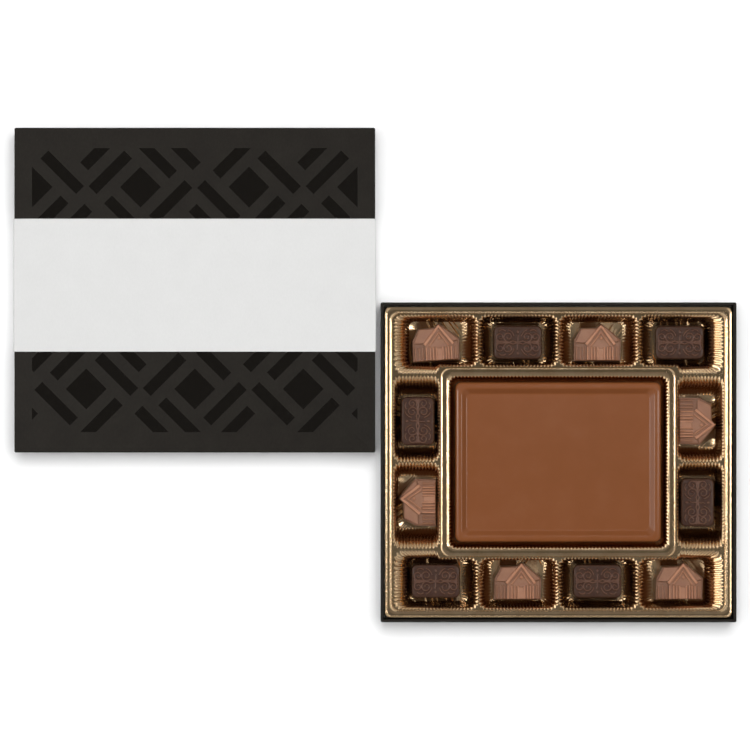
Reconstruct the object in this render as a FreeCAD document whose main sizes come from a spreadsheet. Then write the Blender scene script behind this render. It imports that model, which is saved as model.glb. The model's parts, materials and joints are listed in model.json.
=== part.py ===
import FreeCAD, Part
import os
import Sketcher

# A telescoping set-up box of chocolates. The open base stands on the origin with +Z up and +X to the
# right. It holds a formed insert with a centre bar and twelve chocolates. The lid is taken off and
# stands to the left of the base, with a paper band round it.

doc = FreeCAD.newDocument("chocolate_box")
dims = doc.addObject("Spreadsheet::Sheet", "dims")

# Driving sizes in millimetres, with one angle in degrees: name, value and meaning.
SIZES = [
    ("bar_length", 114.3, "centre bar from left to right"),
    ("bar_width", 88.9, "centre bar from front to back"),
    ("bar_height", 9, "centre bar's thickness"),
    ("bar_corner", 3.3, "corner radius of the bar"),
    ("bar_border", 4.5, "raised border of the bar"),
    ("bar_bevel", 3, "slope between the border and the panel"),
    ("bar_recess", 2, "panel below the border"),
    ("dark_length", 27.7, "dark chocolate along its long side"),
    ("dark_width", 19.4, "dark chocolate along its short side"),
    ("dark_height", 13, "dark chocolate's thickness"),
    ("dark_corner", 3, "corner radius of the dark chocolate"),
    ("dark_edge", 0.8, "rounded top edge of the dark chocolate"),
    ("house_width", 27.4, "house chocolate across its foot"),
    ("house_tall", 21.3, "house chocolate from foot to peak"),
    ("house_slab", 10.5, "thickness of the house below its relief"),
    ("wing_relief", 1, "wing wall above the slab"),
    ("gable_relief", 2, "gable front above the slab"),
    ("board_relief", 0.6, "barge boards and door case above the gable front"),
    ("house_draft", 4, "mould draft of the house in degrees"),
    ("side_room", 0.525, "side well's floor beside a chocolate, towards the bar and the rim"),
    ("side_end_room", 4.325, "side well's floor beyond each end of a chocolate"),
    ("row_room", 1.925, "row well's floor beside a chocolate, towards the bar and the rim"),
    ("row_end_room", 4.95, "row well's floor beyond each end of a chocolate"),
    ("corner_end_room", 3.4, "corner well's floor beyond the outer end of a chocolate"),
    ("well_headroom", 8.9, "rim above the chocolates"),
    ("well_inset", 0.5, "slope of a well's wall at a ridge or the frame, below any shoulder"),
    ("rim_inset", 2.1, "slope of a well's wall at the rim, from top to floor"),
    ("shoulder_depth", 5, "shoulders of the wells below the plate"),
    ("ridge_shoulder", 1.5, "shoulder of a well at a ridge of its row"),
    ("cross_shoulder", 2.6, "shoulder of a side well at the ridge to its neighbour"),
    ("end_shoulder", 5.4, "sloping shoulder at the outer end of a well"),
    ("bay_shoulder", 2.5, "shoulder of a corner well beside a side well"),
    ("flute_pitch", 1.95, "one flute of a well's wall and the rib beside it, at the top"),
    ("flute_depth", 0.9, "flutes behind the ribs of a well's wall, at the top"),
    ("row_ridge", 0.6, "ridge between two wells of a row"),
    ("side_ridge", 0.6, "ridge between a side well and the next well"),
    ("rail_height", 0.6, "insert's rim and frame above its plate"),
    ("bar_margin", 3, "centre well round the bar on each side"),
    ("bar_headroom", 2, "rim above the bar"),
    ("bar_well_inset", 1.5, "slope of the centre well's wall"),
    ("frame_width", 4.5, "flat frame round the centre well"),
    ("rim_width", 4.1, "insert's rim round the wells"),
    ("insert_thickness", 0.5, "formed sheet of the insert"),
    ("insert_corner", 3, "outer corner radius of the insert"),
    ("insert_clearance", 0.75, "gap between insert and base on each side"),
    ("insert_setback", 2.15, "base's rim above the insert's rim"),
    ("base_board", 1.2, "grey board of the base"),
    ("lid_board", 0.8, "grey board of the lid"),
    ("wrap_thickness", 0.15, "covering paper"),
    ("turn_in", 15, "covering paper turned in over the rim"),
    ("stay_thickness", 0.12, "corner tape, pressed into the board"),
    ("stay_leg", 10, "corner tape on each side of its corner"),
    ("lid_clearance", 0.25, "gap between lid and base on each side"),
    ("lid_foot_gap", 1, "closed lid's edge above the table"),
    ("lid_stand_gap", 2.5, "floor between the base and the band on the lid"),
    ("lid_stand_back", 94.6, "lid's centre behind the base's centre"),
    ("band_width", 73, "paper band along the lid's width"),
    ("band_thickness", 0.3, "paper of the band"),
    ("band_clearance", 0.2, "gap between band and lid at each end"),
    ("band_shift", 2.7, "band's centre behind the lid's centre"),
    ("overrun", 1, "how far a cut runs past the piece"),
]
for row, (alias, value, meaning) in enumerate(SIZES, 1):
    dims.set(f"A{row}", meaning)
    dims.set(f"B{row}", str(value))
    dims.setAlias(f"B{row}", alias)
doc.recompute()

# The box is worked out from the inside: the chocolates set the wells, the wells set the insert, the
# insert sets the base, and the base sets the lid. First the largest chocolate, and the walls of board
# and paper.
PIECE_LONG = "max(dims.house_width; dims.dark_length)"
PIECE_SHORT = "max(dims.house_tall; dims.dark_width)"
PIECE_HIGH = "max(dims.dark_height; dims.house_slab + dims.gable_relief + dims.board_relief)"
BASE_WALL = "(dims.base_board + 2 * dims.wrap_thickness)"
BASE_FLOOR = "(dims.base_board + dims.wrap_thickness)"
LID_WALL = "(dims.lid_board + 2 * dims.wrap_thickness)"
LID_TOP = "(dims.lid_board + dims.wrap_thickness)"

# Half sizes of the insert's plan: the centre well, its frame, and the field of wells inside the rim. The
# field takes the larger of what the side wells and the rows need.
BAR_WELL_X = "(dims.bar_length / 2 + dims.bar_margin)"
BAR_WELL_Y = "(dims.bar_width / 2 + dims.bar_margin)"
FRAME_X = f"({BAR_WELL_X} + dims.frame_width)"
FRAME_Y = f"({BAR_WELL_Y} + dims.frame_width)"
RIDGE_WALL = "(dims.ridge_shoulder + dims.well_inset + dims.flute_depth)"
CROSS_WALL = "(dims.cross_shoulder + dims.well_inset + dims.flute_depth)"
END_WALL = "(dims.end_shoulder + dims.well_inset + dims.flute_depth)"
BOTH_WALLS = "(dims.well_inset + dims.rim_inset + 2 * dims.flute_depth)"
ROW_PITCH = f"({PIECE_LONG} + 2 * (dims.row_end_room + {RIDGE_WALL}) + dims.row_ridge)"
ROW_END = (f"({ROW_PITCH} + dims.row_ridge / 2 + {RIDGE_WALL} + dims.row_end_room + {PIECE_LONG}"
           f" + dims.corner_end_room + {END_WALL})")
SIDE_END = (f"(dims.side_ridge / 2 + {CROSS_WALL} + {PIECE_LONG} + 2 * dims.side_end_room"
            f" + {END_WALL})")
BAY_FRONT = f"({SIDE_END} + dims.side_ridge)"
ROW_FRONT = f"max({FRAME_Y}; {BAY_FRONT})"
FIELD_X = f"max({FRAME_X} + {PIECE_SHORT} + 2 * dims.side_room + {BOTH_WALLS}; {ROW_END})"
FIELD_Y = f"({ROW_FRONT} + {PIECE_SHORT} + 2 * dims.row_room + {BOTH_WALLS})"

# Outside of the insert, the base, the lid and the band, and where the lid stands.
INSERT_LENGTH = f"(2 * ({FIELD_X} + dims.rim_width))"
INSERT_WIDTH = f"(2 * ({FIELD_Y} + dims.rim_width))"
INSERT_HEIGHT = f"(dims.insert_thickness + {PIECE_HIGH} + dims.well_headroom)"
BASE_LENGTH = f"({INSERT_LENGTH} + 2 * (dims.insert_clearance + {BASE_WALL}))"
BASE_WIDTH = f"({INSERT_WIDTH} + 2 * (dims.insert_clearance + {BASE_WALL}))"
BASE_HEIGHT = f"({BASE_FLOOR} + {INSERT_HEIGHT} + dims.insert_setback)"
LID_LENGTH = f"({BASE_LENGTH} + 2 * (dims.lid_clearance + {LID_WALL}))"
LID_WIDTH = f"({BASE_WIDTH} + 2 * (dims.lid_clearance + {LID_WALL}))"
LID_HEIGHT = f"({BASE_HEIGHT} - dims.lid_foot_gap + {LID_TOP})"
BAND_LENGTH = f"({LID_LENGTH} + 2 * (dims.band_clearance + dims.band_thickness))"
LID_X = f"(-({BASE_LENGTH} + {BAND_LENGTH}) / 2 - dims.lid_stand_gap)"
LID_Y = "dims.lid_stand_back"

# Heights inside the base.
INSERT_TOP = f"({BASE_FLOOR} + {INSERT_HEIGHT})"
WELL_FLOOR = f"({BASE_FLOOR} + dims.insert_thickness)"
BAR_FLOOR = f"({INSERT_TOP} - dims.bar_headroom - dims.bar_height)"
PLATE = f"({INSERT_TOP} - dims.rail_height)"
BEND = f"({PLATE} - dims.shoulder_depth)"

nodes = []


def node(piece, name):
    """Name a finished sub-part and keep it for export."""
    piece.Label = name
    nodes.append(piece)
    return piece


def place(piece, x, y, z, axis=(0, 0, 1), turn=0):
    """Turn a piece about an axis and bind where it stands."""
    rotation = FreeCAD.Rotation(FreeCAD.Vector(*axis), turn)
    piece.Placement = FreeCAD.Placement(FreeCAD.Vector(), rotation)
    for side, text in zip("xyz", (x, y, z)):
        piece.setExpression(f"Placement.Base.{side}", text)
    return piece


def centred_box(name, length, width, bottom, top):
    """A block centred on Z between two heights."""
    block = doc.addObject("Part::Box", name)
    sides = {"Length": length, "Width": width, "Height": f"({top}) - ({bottom})"}
    for side, text in sides.items():
        block.setExpression(side, text)
    return place(block, f"-({length}) / 2", f"-({width}) / 2", bottom)


def cut(name, piece, *tools):
    """Cut tools out of a piece, one after another."""
    for count, tool in enumerate(tools, 1):
        result = doc.addObject("Part::Cut", name if count == len(tools) else f"{name}_cut_{count}")
        result.Base = piece
        result.Tool = tool
        piece = result
    return piece


def common(name, piece, tool):
    """What a piece and a tool share."""
    result = doc.addObject("Part::Common", name)
    result.Base = piece
    result.Tool = tool
    return result


def fuse(name, pieces):
    """Join pieces into one shape."""
    result = doc.addObject("Part::MultiFuse", name)
    result.Shapes = pieces
    return result


def frustum(name, foot, head, bottom, top):
    """A block with sloping sides. foot and head are plan limits (x low, x high, y low, y high)."""
    block = doc.addObject("Part::Wedge", name)
    sides = {"Ymin": bottom, "Ymax": top}
    for prefix, (x_low, x_high, y_low, y_high) in (("", foot), ("2", head)):
        sides[f"X{prefix}min"] = x_low
        sides[f"X{prefix}max"] = x_high
        sides[f"Z{prefix}min"] = f"-({y_high})"
        sides[f"Z{prefix}max"] = f"-({y_low})"
    for side, text in sides.items():
        block.setExpression(side, text)
    raised = FreeCAD.Rotation(FreeCAD.Vector(1, 0, 0), 90)
    block.Placement = FreeCAD.Placement(FreeCAD.Vector(), raised)
    return block


def outline(body, name, points, height):
    """A closed outline in a sketch at a height. points are pairs of expressions."""
    sketch = body.newObject("Sketcher::SketchObject", name)
    plane = next(item for item in body.Origin.OriginFeatures if item.Role == "XY_Plane")
    sketch.AttachmentSupport = (plane, [""])
    sketch.MapMode = "FlatFace"
    sketch.setExpression("AttachmentOffset.Base.z", height)
    corners = [FreeCAD.Vector(*(float(dims.evalExpression(text)) for text in point), 0) for point in points]
    for start, end in zip(corners, corners[1:] + corners[:1]):
        sketch.addGeometry(Part.LineSegment(start, end))
    for index, point in enumerate(points):
        before = (index - 1) % len(points)
        sketch.addConstraint(Sketcher.Constraint("Coincident", before, 2, index, 1))
        for kind, text, value in zip(("DistanceX", "DistanceY"), point, corners[index]):
            number = sketch.addConstraint(Sketcher.Constraint(kind, index, 1, value))
            sketch.setExpression(f"Constraints[{number}]", text)
    return sketch


def pad(body, name, points, bottom, height, draft="0"):
    """Pad an outline upwards, drawn in by a draft angle."""
    feature = body.newObject("PartDesign::Pad", name)
    feature.Profile = outline(body, f"{name}_outline", points, bottom)
    feature.setExpression("Length", height)
    feature.setExpression("TaperAngle", f"-({draft})")
    doc.recompute()
    return feature


def fillet(body, name, feature, radius, wanted):
    """Round the edges of the body's last feature that wanted picks."""
    edges = [f"Edge{number}" for number, edge in enumerate(feature.Shape.Edges, 1) if wanted(edge)]
    rounding = body.newObject("PartDesign::Fillet", name)
    rounding.Base = (feature, edges)
    rounding.setExpression("Radius", radius)
    doc.recompute()
    return rounding


def upright(edge):
    """True for an edge along Z."""
    return edge.BoundBox.XLength + edge.BoundBox.YLength < edge.BoundBox.ZLength


def rounded_block(name, length, width, height, corner):
    """A body: a rectangle padded upwards, with rounded corners."""
    body = doc.addObject("PartDesign::Body", name)
    sides = [(f"-({length}) / 2", f"-({width}) / 2"), (f"({length}) / 2", f"-({width}) / 2"),
             (f"({length}) / 2", f"({width}) / 2"), (f"-({length}) / 2", f"({width}) / 2")]
    block = pad(body, f"{name}_block", sides, "0", height)
    fillet(body, f"{name}_corners", block, corner, upright)
    return body


def set_up_box(prefix, length, width, height, board):
    """An open tray of board with taped corners and a paper wrap, standing on its floor."""
    wrap = "dims.wrap_thickness"
    board_length, board_width = f"({length} - 2 * {wrap})", f"({width} - 2 * {wrap})"
    inner_length, inner_width = f"({board_length} - 2 * {board})", f"({board_width} - 2 * {board})"
    lined_length, lined_width = f"({inner_length} - 2 * {wrap})", f"({inner_width} - 2 * {wrap})"
    taped_length = f"({board_length} - 2 * dims.stay_thickness)"
    taped_width = f"({board_width} - 2 * dims.stay_thickness)"
    floor, rim, fold = f"({wrap} + {board})", f"({height} - {wrap})", f"({height} - dims.turn_in)"

    tray = cut(f"{prefix}_tray",
               centred_box(f"{prefix}_blank", board_length, board_width, wrap, rim),
               centred_box(f"{prefix}_hollow", inner_length, inner_width, floor, height))

    def corner_tape(name):
        ends, sides = f"{board_length} - 2 * dims.stay_leg", f"{board_width} - 2 * dims.stay_leg"
        return cut(name,
                   centred_box(f"{name}_blank", board_length, board_width, wrap, rim),
                   centred_box(f"{name}_core", taped_length, taped_width, "0", height),
                   centred_box(f"{name}_ends", ends, width, "0", height),
                   centred_box(f"{name}_sides", length, sides, "0", height))

    stays = corner_tape(f"{prefix}_corner_stays")
    boards = cut(f"{prefix}_board", tray, corner_tape(f"{prefix}_tape_room"))
    paper = cut(f"{prefix}_wrap",
                centred_box(f"{prefix}_wrap_blank", length, width, "0", height),
                centred_box(f"{prefix}_wrap_mouth", lined_length, lined_width, floor,
                            f"{height} + dims.overrun"),
                centred_box(f"{prefix}_wrap_hollow", inner_length, inner_width, floor, fold),
                tray)
    return boards, paper, stays


def base():
    """The base tray, its wrap and its corner tape."""
    pieces = set_up_box("base", BASE_LENGTH, BASE_WIDTH, BASE_HEIGHT, "dims.base_board")
    for piece in pieces:
        node(piece, piece.Name)


def lid():
    """The lid: the same make of tray, turned over and stood beside the base on its band."""
    pieces = set_up_box("lid", LID_LENGTH, LID_WIDTH, LID_HEIGHT, "dims.lid_board")
    for piece in pieces:
        place(piece, LID_X, LID_Y, f"{LID_HEIGHT} + dims.band_thickness", (1, 0, 0), 180)
        node(piece, piece.Name)


def belly_band():
    """A closed loop of paper round the lid, under its rim as well."""
    sleeve = centred_box("band_sleeve", BAND_LENGTH, "dims.band_width",
                         "0", f"{LID_HEIGHT} + 2 * dims.band_thickness")
    room = centred_box("band_room", f"{LID_LENGTH} + 2 * dims.band_clearance",
                       "dims.band_width + 2 * dims.overrun",
                       "dims.band_thickness", f"{LID_HEIGHT} + dims.band_thickness")
    band = cut("belly_band", sleeve, room)
    place(band, LID_X, f"{LID_Y} + dims.band_shift", "0")
    node(band, "belly_band")


# How far a wall of a well has moved in at the floor, at the bend under its shoulder and at the top.
LEVELS = FOOT, SHOULDER, HEAD = range(3)
UPRIGHT = ("0", "0", "0")
FRAME_SIDE = ("dims.well_inset", "dims.well_inset / 2", "0")
RIM_SIDE = ("dims.rim_inset", "dims.rim_inset / 2", "0")
RIDGE_SIDE = ("(dims.ridge_shoulder + dims.well_inset)", "dims.ridge_shoulder", "0")
CROSS_SIDE = ("(dims.cross_shoulder + dims.well_inset)", "dims.cross_shoulder", "0")
END_SIDE = ("(dims.end_shoulder + dims.well_inset)", "dims.end_shoulder", "0")
BAY_SIDE = (f"({ROW_FRONT} + dims.well_inset - {BAY_FRONT})", "dims.bay_shoulder", "0")


class Well:
    """A well right of and behind the insert's centre.

    x and y each hold its near and far limit behind the flutes, and the walls there.
    """

    def __init__(self, name, x, y):
        self.name = name
        self.axes = (x, y)

    def limits(self, axis, level, grow="0"):
        """Near and far limit of the ribs on one axis, grown outwards."""
        near, far, near_side, far_side = self.axes[axis]
        return (f"({near} + dims.flute_depth + {near_side[level]} - ({grow}))",
                f"({far} - dims.flute_depth - {far_side[level]} + {grow})")

    def stacked(self, prefix, floor, grow="0", grow_head="0"):
        """The well from its floor to its bend and on to the plate, grown outwards."""
        foot, bend, head = [[*self.limits(0, level, more), *self.limits(1, level, more)]
                            for level, more in zip(LEVELS, (grow, grow, grow_head))]
        return [frustum(f"{prefix}_{self.name}_lower", foot, bend, floor, BEND),
                frustum(f"{prefix}_{self.name}_upper", bend, head, BEND, PLATE)]

    def middle(self, axis):
        """Centre of the floor on one axis."""
        return "({} + {}) / 2".format(*self.limits(axis, FOOT))


def flutes(well, axis, far, span=None):
    """The flutes of one wall, side by side between the limits of a span. They fade out at the bend."""
    span = span or (lambda level: well.limits(1 - axis, level))
    count = round(float(dims.evalExpression("({1} - {0}) / dims.flute_pitch".format(*span(HEAD)))))
    bars = []
    for number in range(count):
        plans = []
        for level, reach in ((SHOULDER, "-dims.overrun / 4"), (HEAD, "dims.flute_depth")):
            low, high = span(level)
            middle = f"({low} + ({high} - {low}) * (2 * {number} + 1) / (2 * {count}))"
            wide = [f"{middle} - dims.flute_pitch / 4", f"{middle} + dims.flute_pitch / 4"]
            near_rib, far_rib = well.limits(axis, level)
            deep = [f"{near_rib} - ({reach})", f"{near_rib} + dims.overrun"]
            if far:
                deep = [f"{far_rib} - dims.overrun", f"{far_rib} + {reach}"]
            plans.append(wide + deep if axis else deep + wide)
        bars.append(frustum(f"flute_{well.name}_{axis}_{far}_{number}", *plans, BEND, PLATE))
    return bars


def chocolate_wells():
    """The three kinds of well in one quarter, and the bay that widens the corner well beside the frame."""
    ridge = "dims.row_ridge / 2"
    row_y = (ROW_FRONT, FIELD_Y, FRAME_SIDE, RIM_SIDE)
    inner = Well("inner", (f"({ridge})", f"({ROW_PITCH} - {ridge})", RIDGE_SIDE, RIDGE_SIDE), row_y)
    corner = Well("corner", (f"({ROW_PITCH} + {ridge})", FIELD_X, RIDGE_SIDE, END_SIDE), row_y)
    side = Well("side", (FRAME_X, FIELD_X, FRAME_SIDE, RIM_SIDE),
                ("(dims.side_ridge / 2)", SIDE_END, CROSS_SIDE, END_SIDE))
    bay = Well("bay", (FRAME_X, FIELD_X, UPRIGHT, END_SIDE),
               (BAY_FRONT, corner.middle(1), BAY_SIDE, UPRIGHT))
    return inner, corner, side, bay


def mirrored(piece, axis):
    """A piece and its mirror image across the plane through the centre that an axis stands on."""
    image = doc.addObject("Part::Mirroring", f"{piece.Name}_across_{axis}")
    image.Source = piece
    image.Normal = FreeCAD.Vector(axis == "x", axis == "y", 0)
    return [piece, image]


def in_quarters(piece):
    """A piece and its images in the other three quarters."""
    return [image for half in mirrored(piece, "x") for image in mirrored(half, "y")]


def insert_tray(inner, corner, side, bay):
    """The formed insert: a plate with a raised rim and a skirt, fluted wells and a framed bar well."""
    sheet, rail = "dims.insert_thickness", "dims.rail_height"

    def slab(name, length, width, height, radius, bottom):
        block = rounded_block(name, length, width, height, radius)
        return place(block, "0", "0", bottom)

    outer, radius = (INSERT_LENGTH, INSERT_WIDTH), "dims.insert_corner"
    inside = [f"({size} - 2 * {sheet})" for size in outer]
    height = f"({INSERT_HEIGHT} - {rail})"
    flange = cut("insert_flange", slab("insert_skin", *outer, height, radius, BASE_FLOOR),
                 slab("insert_core", *inside, f"{height} - {sheet}", f"{radius} - {sheet}", BASE_FLOOR))
    rim = cut("insert_rim", slab("rim_rail", *outer, rail, radius, PLATE),
              slab("rim_mouth", f"2 * {FIELD_X}", f"2 * {FIELD_Y}", rail, radius, PLATE))
    frame = slab("insert_frame", f"2 * {FRAME_X}", f"2 * {FRAME_Y}", rail, radius, PLATE)

    def bar_room(name, grow, floor):
        foot, head = [], []
        for reach in (BAR_WELL_X, BAR_WELL_Y):
            inner_reach = f"({reach} + {grow} - dims.bar_well_inset)"
            foot += [f"-{inner_reach}", inner_reach]
            head += [f"-({reach} + {grow})", f"({reach} + {grow})"]
        return frustum(name, foot, head, floor, INSERT_TOP)

    hollows = [bar_room("bar_hollow", "0", BAR_FLOOR)]
    shells = [flange, rim, frame, bar_room("bar_shell", sheet, f"{BAR_FLOOR} - {sheet}")]

    def beyond_bay(level):
        return bay.limits(1, level)[0], corner.limits(1, level)[1]

    def beside_bay(level):
        return corner.limits(0, level)[0], bay.limits(0, level)[0]

    bars = {well: [] for well in (inner, corner, side)}
    for well in (inner, side):
        for axis in (0, 1):
            bars[well] += flutes(well, axis, False) + flutes(well, axis, True)
    bars[corner] += flutes(corner, 0, False) + flutes(corner, 0, True, beyond_bay) + flutes(corner, 1, True)
    bars[corner] += flutes(corner, 1, False, beside_bay) + flutes(bay, 1, False)
    bars[corner] += bay.stacked("hollow", WELL_FLOOR)
    shell_growth = (sheet, f"{sheet} + dims.flute_depth")
    shells += bay.stacked("shell", BASE_FLOOR, *shell_growth)
    for well in (inner, corner, side):
        hollows.append(fuse(f"{well.name}_hollow", well.stacked("hollow", WELL_FLOOR) + bars[well]))
        shells += well.stacked("shell", BASE_FLOOR, *shell_growth)

    # The wells are alike in the four quarters, so one quarter is made and mirrored. The seams stay in the
    # plate's faces, because one face round twelve fluted wells is slow to check.
    limits = ["0", f"{INSERT_LENGTH} / 2", "0", f"{INSERT_WIDTH} / 2"]
    blank = common("insert_blank", fuse("insert_shells", shells),
                   frustum("insert_room", limits, limits, BASE_FLOOR, INSERT_TOP))
    openings = doc.addObject("Part::Compound", "insert_hollows")
    openings.Links = hollows
    tray = fuse("insert_tray", in_quarters(cut("insert_quarter", blank, openings)))
    tray.Refine = False
    node(tray, "insert_tray")


def centre_bar():
    """The large bar: a rounded slab with a raised border and a sunk panel."""
    slab = rounded_block("bar_slab", "dims.bar_length", "dims.bar_width", "dims.bar_height",
                         "dims.bar_corner")

    def panel(inset):
        x, y = f"(dims.bar_length / 2 - {inset})", f"(dims.bar_width / 2 - {inset})"
        return [f"-{x}", x, f"-{y}", y]

    recess = frustum("bar_panel", panel("dims.bar_border + dims.bar_bevel"), panel("dims.bar_border"),
                     "dims.bar_height - dims.bar_recess", "dims.bar_height")
    bar = cut("centre_bar", slab, recess)
    place(bar, "0", "0", BAR_FLOOR)
    node(bar, "centre_bar")


def dark_chocolate(name):
    """A rounded rectangle with a softened top edge."""
    body = rounded_block(name, "dims.dark_length", "dims.dark_width", "dims.dark_height", "dims.dark_corner")
    middle = float(dims.evalExpression("dims.dark_height")) / 2
    fillet(body, f"{name}_edge", body.Tip, "dims.dark_edge", lambda edge: edge.BoundBox.ZMin > middle)
    return body


# Points of the house from its left foot, as shares of its width and its height to the peak.
HOUSE_SHARES = [(0, 0), (1, 0), (0.985, 0.56), (0.58, 1), (0.485, 0.864), (0.106, 0.864), (0.011, 0.535)]
GABLE_SHARES = [(0.226, 0.03), (0.858, 0.03), (0.858, 0.484), (0.58, 0.94), (0.226, 0.484)]
WING_SHARES = [(0.03, 0.03), (0.226, 0.03), (0.226, 0.484), (0.03, 0.484)]
BARGE_SHARES = [(0.858, 0.43), (0.858, 0.484), (0.58, 0.94), (0.226, 0.484), (0.226, 0.43), (0.58, 0.86)]
DOOR_SHARES = [(0.45, 0.03), (0.64, 0.03), (0.64, 0.36), (0.45, 0.36)]


def house_points(shares):
    """Points of the house's front, centred on its width and its height."""
    return [(f"dims.house_width * ({x} - 1 / 2)", f"dims.house_tall * ({y} - 1 / 2)") for x, y in shares]


def house_chocolate(name):
    """A house in relief: a slab with a wing, a gable front, barge boards and a door case."""
    body = doc.addObject("PartDesign::Body", name)
    pad(body, f"{name}_slab", house_points(HOUSE_SHARES), "0", "dims.house_slab", "dims.house_draft")
    slab = "dims.house_slab"
    front = f"{slab} + dims.gable_relief"
    pad(body, f"{name}_wing", house_points(WING_SHARES), slab, "dims.wing_relief")
    pad(body, f"{name}_gable", house_points(GABLE_SHARES), slab, "dims.gable_relief")
    pad(body, f"{name}_barge", house_points(BARGE_SHARES), front, "dims.board_relief")
    pad(body, f"{name}_door", house_points(DOOR_SHARES), front, "dims.board_relief")
    return body


# Which chocolate lies where: its kind, its well, the sides of the centre that the well lies on in x and
# in y, and how far the chocolate is turned in degrees.
FILLING = [
    ("house", "corner", -1, 1, 3.5), ("dark", "inner", -1, 1, 0),
    ("house", "inner", 1, 1, 0), ("dark", "corner", 1, 1, 0),
    ("dark", "side", -1, 1, 90), ("house", "side", 1, 1, -90),
    ("house", "side", -1, -1, 90), ("dark", "side", 1, -1, 90),
    ("dark", "corner", -1, -1, 0), ("house", "inner", -1, -1, 0),
    ("dark", "inner", 1, -1, 0), ("house", "corner", 1, -1, 0),
]


def chocolates(inner, corner, side):
    """One chocolate on the floor of each well."""
    corner_x = f"({FIELD_X} - {END_WALL} - dims.corner_end_room - {PIECE_LONG} / 2)"
    seats = {"inner": (inner.middle(0), inner.middle(1)), "corner": (corner_x, corner.middle(1)),
             "side": (side.middle(0), side.middle(1))}
    makers = {"house": house_chocolate, "dark": dark_chocolate}
    counts = {"house": 0, "dark": 0}
    for kind, well, hand, depth, turn in FILLING:
        counts[kind] += 1
        name = f"{kind}_chocolate_{counts[kind]}"
        piece = makers[kind](name)
        x, y = seats[well]
        place(piece, f"{hand} * {x}", f"{depth} * {y}", WELL_FLOOR, turn=turn)
        node(piece, name)


def export():
    """Check every object, then write one STEP file for each sub-part."""
    doc.recompute()
    for item in doc.Objects:
        if {"Invalid", "Error"} & set(item.State):
            raise RuntimeError(f"{item.Name} failed: {item.State}")
    for piece in nodes:
        if piece.Shape.isNull() or not piece.Shape.isValid():
            raise RuntimeError(f"{piece.Label} has no valid shape")
    os.makedirs("parts", exist_ok=True)
    for piece in nodes:
        piece.Shape.exportStep(f"parts/{piece.Label}.step")
        print(piece.Label, len(piece.Shape.Solids), "solids", round(piece.Shape.Volume, 1), "mm3")


base()
lid()
belly_band()
inner_well, corner_well, side_well, corner_bay = chocolate_wells()
insert_tray(inner_well, corner_well, side_well, corner_bay)
centre_bar()
chocolates(inner_well, corner_well, side_well)
export()
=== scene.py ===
# %% [markdown]
# # A box of chocolates with its lid off
#
# The object is a set-up box: two trays of grey board covered in dark paper. The base holds a
# gold formed insert with twelve chocolates and a large bar. The lid lies beside it with a
# paper band round it. The CAD model gives where each piece stands and how large it is, and this
# lesson makes it again with the soft edges, flutes and finishes that the eye looks for.

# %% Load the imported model
import json
import math

import bmesh
import bpy
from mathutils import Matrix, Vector

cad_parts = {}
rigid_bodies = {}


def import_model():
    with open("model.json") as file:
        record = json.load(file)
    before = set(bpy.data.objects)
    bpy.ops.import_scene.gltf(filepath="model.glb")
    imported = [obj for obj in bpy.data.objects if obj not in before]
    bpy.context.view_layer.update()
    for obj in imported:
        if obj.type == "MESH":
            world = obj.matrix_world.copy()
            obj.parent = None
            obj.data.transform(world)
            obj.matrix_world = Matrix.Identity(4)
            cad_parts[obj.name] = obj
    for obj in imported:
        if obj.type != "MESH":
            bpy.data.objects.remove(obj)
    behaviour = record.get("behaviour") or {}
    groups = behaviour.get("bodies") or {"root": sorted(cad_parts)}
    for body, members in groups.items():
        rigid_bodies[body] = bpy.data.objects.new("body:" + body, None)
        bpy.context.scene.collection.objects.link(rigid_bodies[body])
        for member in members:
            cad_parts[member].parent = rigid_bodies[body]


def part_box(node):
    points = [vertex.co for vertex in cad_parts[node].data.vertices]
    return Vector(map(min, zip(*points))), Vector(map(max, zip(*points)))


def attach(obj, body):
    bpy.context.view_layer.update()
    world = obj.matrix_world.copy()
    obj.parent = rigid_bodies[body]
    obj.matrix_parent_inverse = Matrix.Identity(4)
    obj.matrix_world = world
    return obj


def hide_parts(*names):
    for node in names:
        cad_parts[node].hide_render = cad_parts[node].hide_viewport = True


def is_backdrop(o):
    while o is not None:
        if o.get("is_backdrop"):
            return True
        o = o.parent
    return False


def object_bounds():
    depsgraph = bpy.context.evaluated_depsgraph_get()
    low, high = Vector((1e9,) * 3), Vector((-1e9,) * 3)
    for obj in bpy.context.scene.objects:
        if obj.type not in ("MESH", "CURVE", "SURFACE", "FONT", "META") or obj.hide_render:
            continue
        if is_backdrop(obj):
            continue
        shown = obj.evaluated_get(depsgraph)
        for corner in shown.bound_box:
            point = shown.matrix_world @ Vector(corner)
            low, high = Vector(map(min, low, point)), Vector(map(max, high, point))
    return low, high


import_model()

cad_low, cad_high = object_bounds()
MM = 0.001
print("CAD box in mm:", [round(v / MM, 2) for v in (*cad_low, *cad_high)])

# %% [markdown]
# ## The view
#
# The photograph looks straight down from far away, so the sides of the box hardly show. A
# camera with a long lens, over two metres up, gives that look and still has a little perspective.
# The whole set is centred in a square picture.

# %% Camera
PICTURE_PIXELS = 750
PIXELS_PER_MM = 1.80
LENS_MM, SENSOR_MM = 200, 36

middle = (cad_low + cad_high) / 2
view_width = PICTURE_PIXELS / PIXELS_PER_MM * MM
camera_height = view_width * LENS_MM / SENSOR_MM
bpy.ops.object.camera_add(location=(middle.x, middle.y, camera_height), rotation=(0, 0, 0))
camera = bpy.context.object
camera.name = "overhead_camera"
camera.data.lens, camera.data.sensor_width = LENS_MM, SENSOR_MM
bpy.context.scene.camera = camera
print("camera is", round(camera_height, 3), "m above the floor")

# %% [markdown]
# ## Node and colour helpers
#
# A material is a small graph of nodes. One function adds a node, sets it and links it, so a
# recipe reads from top to bottom. Colours are written as the hex codes that a picture editor
# shows, and one function turns them into the linear values that a renderer adds up.

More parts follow.
